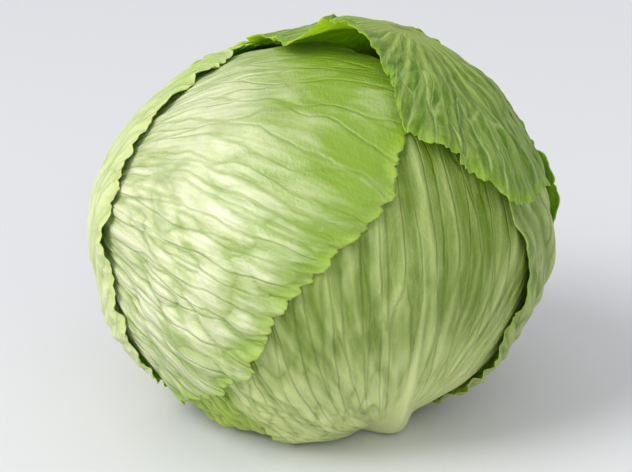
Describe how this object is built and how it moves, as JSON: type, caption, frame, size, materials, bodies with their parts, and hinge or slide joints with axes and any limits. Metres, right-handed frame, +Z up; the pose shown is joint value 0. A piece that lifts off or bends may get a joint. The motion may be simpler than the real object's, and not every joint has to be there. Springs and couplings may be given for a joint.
{
  "type": "iceberg lettuce",
  "caption": "Round head of crisp overlapping leaves with pale veins and ruffled margins, wrapped round a tight heart on a short cut stem; rests on its base.",
  "frame": {"origin": "the middle of the head's box in plan, on the surface that the head rests on", "axes": "+Z up from the resting spot; the head's front, with the front leaf's midrib, faces -Y; +X to the right seen from the front"},
  "size_m": [0.1578, 0.1594, 0.1367],
  "materials": {
    "stem": "moist cut stem, cream with a tan rim",
    "inner_blade": "pale yellow-green leaf",
    "lower_left_blade": "satin bright green leaf",
    "front_blade": "satin mid-green leaf with pale veins",
    "left_blade": "glossy pale green puckered leaf",
    "right_wrapper_blade": "satin olive-green leaf",
    "left_wrapper_blade": "satin light green leaf",
    "crown_blade": "matte dark green leaf with greyish veins",
    "back_blade": "matte green leaf with pale veins"
  },
  "bodies": {
    "root": {"stem": "stem", "heart": "inner_blade", "inner_leaf_1": "inner_blade", "inner_leaf_2": "inner_blade", "inner_leaf_3": "inner_blade", "lower_left_leaf": "lower_left_blade", "front_leaf": "front_blade", "left_leaf": "left_blade", "right_wrapper_leaf": "right_wrapper_blade", "left_wrapper_leaf": "left_wrapper_blade", "crown_leaf": "crown_blade", "back_leaf": "back_blade"}
  },
  "joints": []
}
